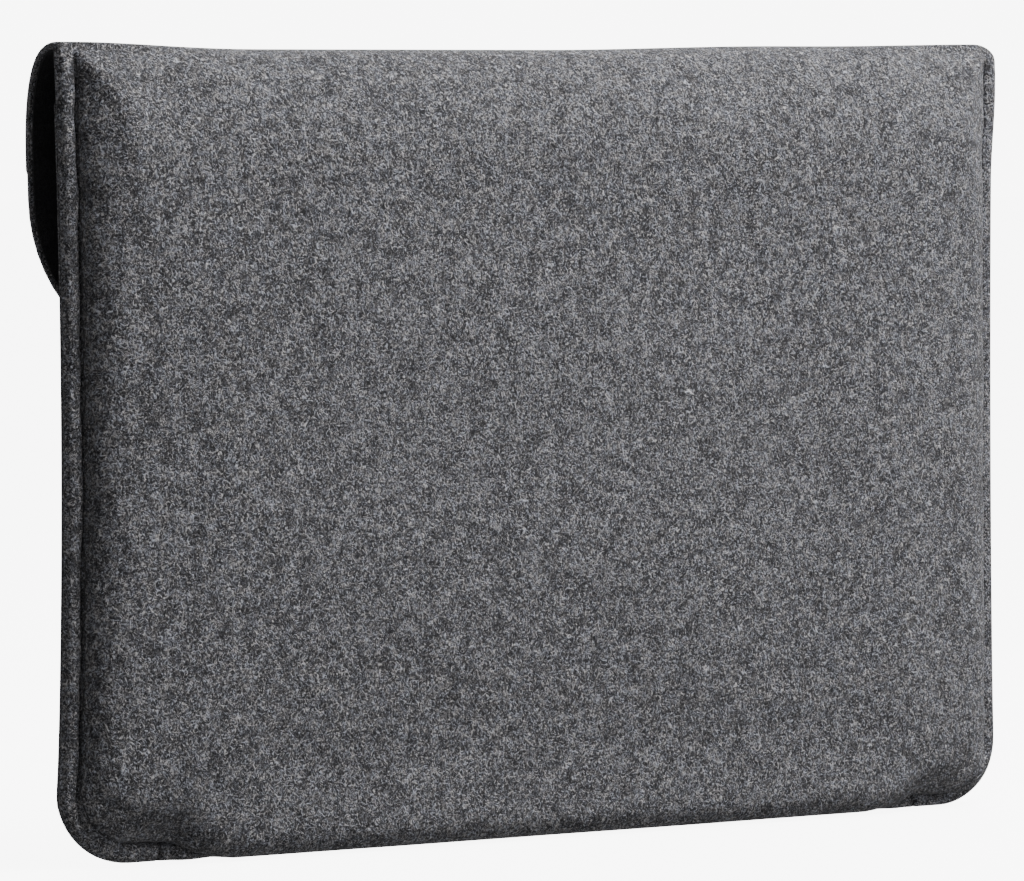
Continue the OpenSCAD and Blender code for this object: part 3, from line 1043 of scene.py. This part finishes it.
def build_tapes():
    for kind, (body, outward, outline, pitch, radius, spread) in TAPE_KINDS.items():
        lines = []
        for seed, side in enumerate(("left", "right")):
            node = f"{side}_{kind}_tape"
            tape_plate(f"tape_{kind}_{side}", node, body, outward)
            tape_pile(f"pile_{kind}_{side}", node, body, outward, outline, pitch, radius, spread, seed)
            lines += tape_lines(node, outward)
        stitching(f"tape_stitches_{kind}", lines, [(0, outward, 0)] * len(lines),
                  f"{kind}_tape_stitching", body, pitch=2.6, radius=0.22, sink=0.35)


settle(True)
settle(False)
build_tapes()
build_felt()
build_lining()
build_foam()
build_stitching()


# --- camera, lights and floor -------------------------------------------------------------------

CAMERA_AZIMUTH, CAMERA_ELEVATION, CAMERA_ROLL = 148.0, 2.76, -0.28
CAMERA_DISTANCE, CAMERA_LENS = 2.063, 229.4
CAMERA_OFFSET = (-10.09 * MM, -0.58 * MM)


def make_camera():
    a, e, roll = (math.radians(t) for t in (CAMERA_AZIMUTH, CAMERA_ELEVATION, CAMERA_ROLL))
    back = Vector((math.sin(a) * math.cos(e), -math.cos(a) * math.cos(e), math.sin(e)))
    right = (-back).cross(Vector((0, 0, 1))).normalized()
    up = right.cross(-back)
    right, up = right * math.cos(roll) + up * math.sin(roll), up * math.cos(roll) - right * math.sin(roll)
    centre = Vector((0, 0, HEIGHT * MM / 2)) + right * CAMERA_OFFSET[0] + up * CAMERA_OFFSET[1]
    data = bpy.data.cameras.new("camera")
    data.lens, data.sensor_width, data.clip_end = CAMERA_LENS, 36.0, 20.0
    camera = bpy.data.objects.new("camera", data)
    camera.matrix_world = Matrix.Translation(centre + back * CAMERA_DISTANCE) @ Matrix(
        (right, up, back)).transposed().to_4x4()
    bpy.context.scene.collection.objects.link(camera)
    bpy.context.scene.camera = camera


def point_at(light, toward):
    """Turn a light along a direction, and put it in the scene."""
    light.rotation_euler = Vector(toward).to_track_quat("-Z", "Y").to_euler()
    bpy.context.scene.collection.objects.link(light)


def soft_sun(name, source, share):
    """Even light from a direction, wide enough for soft shadows. A share of 1 is a white world's."""
    data = bpy.data.lights.new(name, "SUN")
    data.energy, data.angle = share * math.pi, math.radians(SUN_SPREAD)
    point_at(bpy.data.objects.new(name, data), -Vector(source))


def softbox(name, place, target, side, power):
    data = bpy.data.lights.new(name, "AREA")
    data.size, data.energy = side, power
    light = bpy.data.objects.new(name, data)
    light.location = place
    point_at(light, Vector(target) - Vector(place))


def make_floor():
    """A pale light table. It throws no light up at the sleeve, which keeps its lower edges dark."""
    bpy.ops.mesh.primitive_plane_add(size=40, location=(0, 0, -0.0006))
    floor = bpy.context.object
    floor.name = "floor"
    floor.data.materials.append(floor_material())
    floor.visible_diffuse = False
    floor.visible_glossy = False


def make_lights():
    """The main softbox is overhead, to the camera's right, and a low one fills in from the right.

    The sun lights the flap's side, which the camera doesn't see.
    """
    softbox("top_softbox", (-0.42, 0.38, 1.12), (0, 0, 0.12), 0.8, 20.5)
    softbox("camera_softbox", (-0.80, 0.90, 0.00), (0, 0, 0.05), 0.7, 5.2)
    soft_sun("front_sun", (-0.50, -0.75, 0.45), 0.75)


def make_world():
    """Dim even light all round, with a backdrop as pale as the lit floor."""
    world = bpy.data.worlds.new("studio")
    world.use_nodes = True
    nodes, links = world.node_tree.nodes, world.node_tree.links
    ambient = nodes["Background"]
    ambient.inputs["Color"].default_value = (1, 1, 1, 1)
    ambient.inputs["Strength"].default_value = AMBIENT
    backdrop = nodes.new("ShaderNodeBackground")
    backdrop.inputs["Color"].default_value = (1, 1, 1, 1)
    backdrop.inputs["Strength"].default_value = BACKDROP
    seen = nodes.new("ShaderNodeLightPath")
    mixed = nodes.new("ShaderNodeMixShader")
    links.new(seen.outputs["Is Camera Ray"], mixed.inputs["Fac"])
    links.new(ambient.outputs[0], mixed.inputs[1])
    links.new(backdrop.outputs[0], mixed.inputs[2])
    links.new(mixed.outputs[0], nodes["World Output"].inputs["Surface"])
    bpy.context.scene.world = world


make_camera()
make_floor()
make_lights()
make_world()
